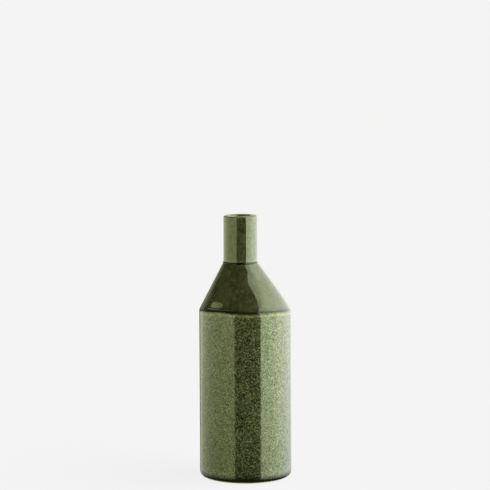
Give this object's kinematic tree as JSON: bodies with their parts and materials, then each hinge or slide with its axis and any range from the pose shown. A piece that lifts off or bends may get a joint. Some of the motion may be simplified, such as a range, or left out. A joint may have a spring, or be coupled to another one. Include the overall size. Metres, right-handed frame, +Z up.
{
  "type": "pottery bottle vase",
  "caption": "Glazed stoneware bottle vase: straight round body, tapered shoulder set off-centre, narrow straight neck with an open mouth.",
  "frame": {"origin": "centre of the circle that the foot stands on, on the axis of the straight body", "axes": "+Z up along the body's axis; the neck's axis is parallel to it and 4.7 mm towards -X"},
  "size_m": [0.0872, 0.0872, 0.2469],
  "materials": {
    "bare_clay": "matte",
    "slip": "matte",
    "speckled_glaze": "gloss",
    "smooth_glaze": "gloss",
    "pooled_glaze": "gloss",
    "liner_glaze": "gloss"
  },
  "bodies": {
    "root": {"base_plate": "bare_clay", "body_wall": "bare_clay", "shoulder_cone": "bare_clay", "neck_tube": "bare_clay", "base_slip_seam": "slip", "shoulder_slip_seam": "slip", "neck_slip_seam": "slip", "body_glaze": "speckled_glaze", "shoulder_glaze": "smooth_glaze", "neck_glaze": "smooth_glaze", "neck_root_glaze_pool": "pooled_glaze", "liner_glaze": "liner_glaze"}
  },
  "joints": []
}
